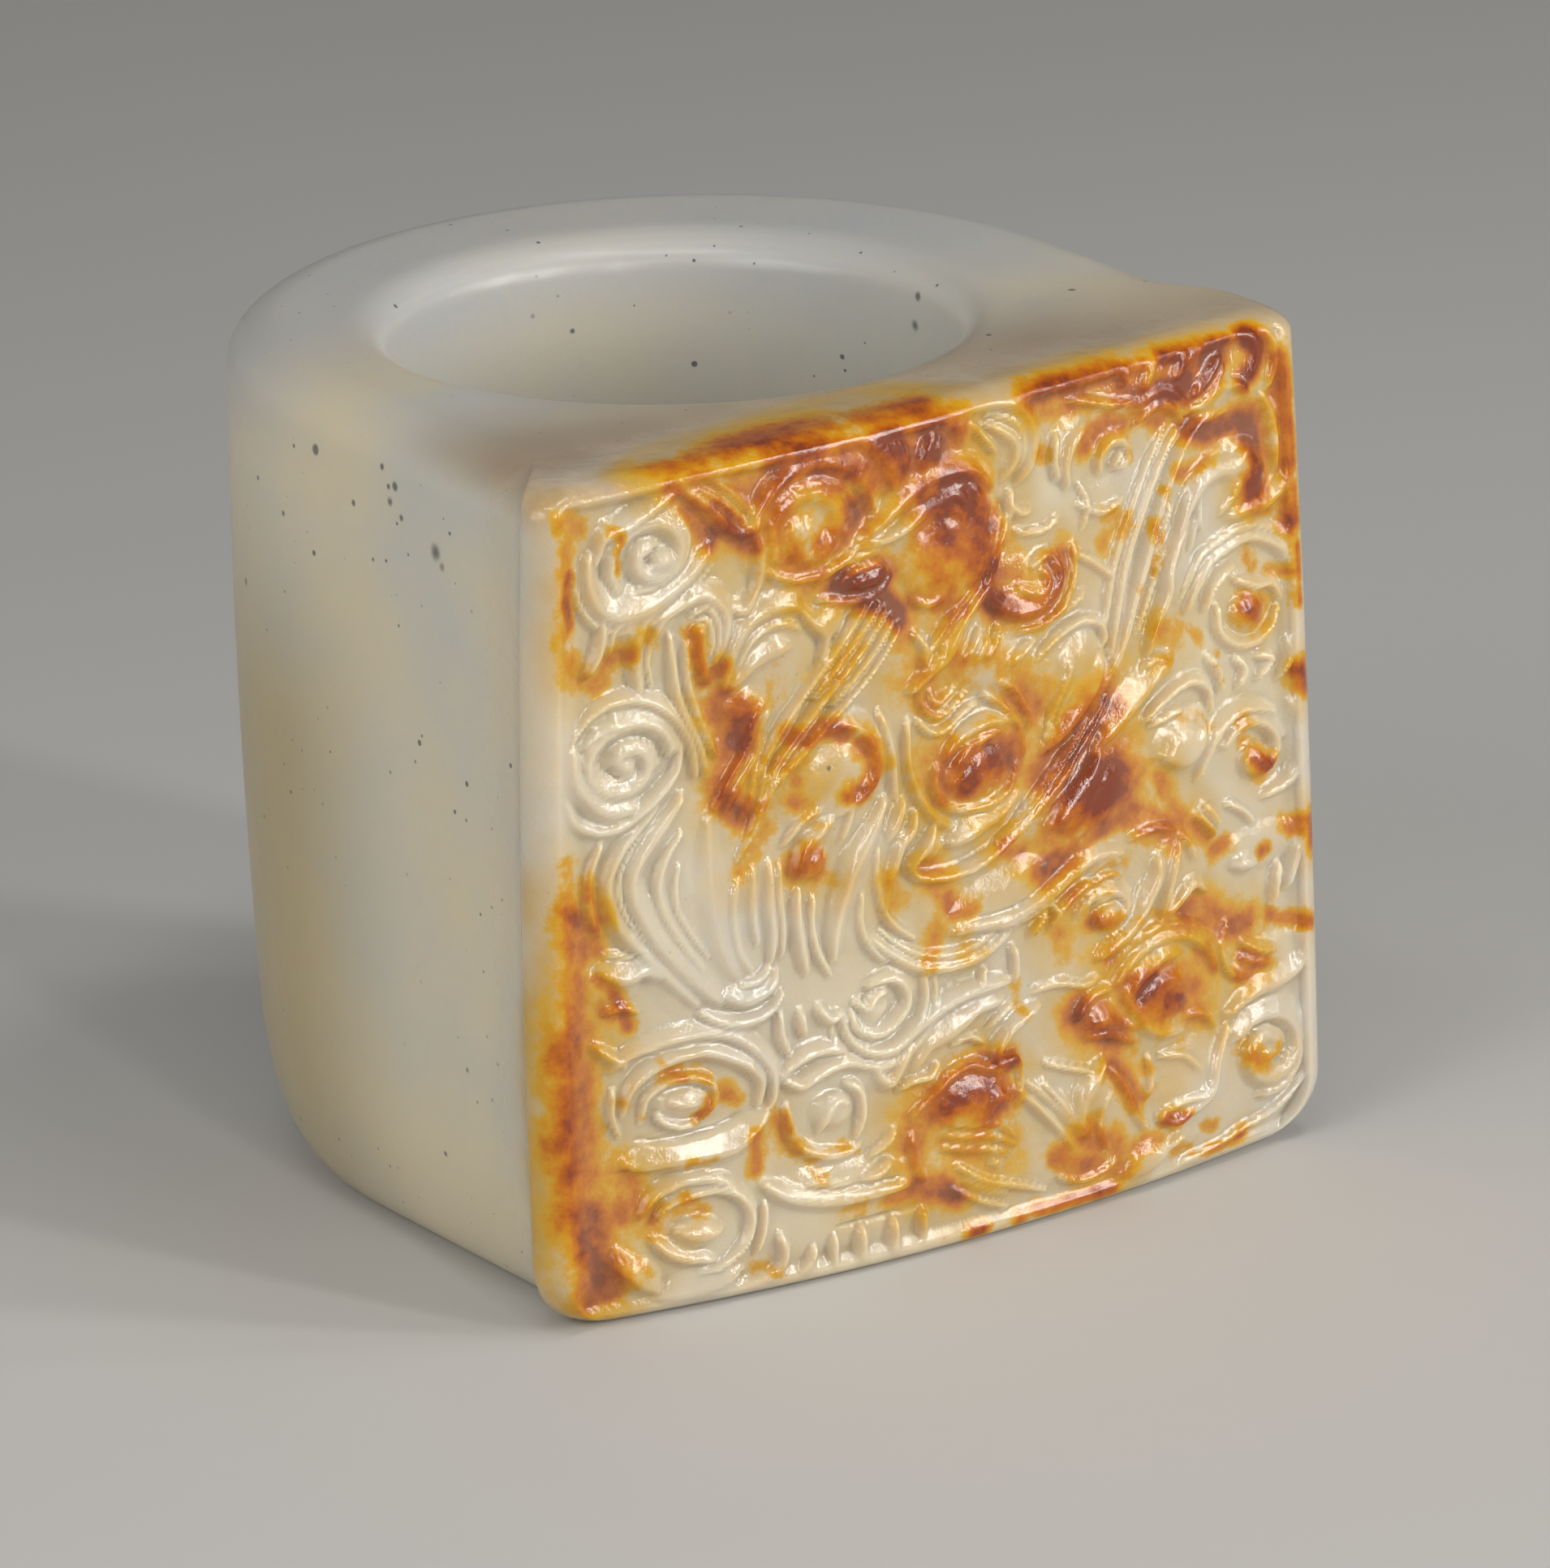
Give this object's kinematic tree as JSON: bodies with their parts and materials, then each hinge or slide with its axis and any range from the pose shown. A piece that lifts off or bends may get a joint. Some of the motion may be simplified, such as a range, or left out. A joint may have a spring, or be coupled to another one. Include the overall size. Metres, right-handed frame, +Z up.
{
  "type": "archer's thumb ring",
  "caption": "Thick-walled carved jade thumb ring with an upright round bore, a domed back and a flat bowed panel with shallow relief.",
  "frame": {"origin": "on the bore's axis, in the plane of the foot, which is the annular end that the ring stands on", "axes": "+Z up along the bore's axis, -Y out of the carved panel, +X to the right of the panel seen from the front"},
  "size_m": [0.0331, 0.0326, 0.03],
  "materials": {
    "jade": "soft polish, pale grey-green nephrite with russet skin left on the carved panel"
  },
  "bodies": {
    "root": {"thumb_ring": "jade"}
  },
  "joints": []
}
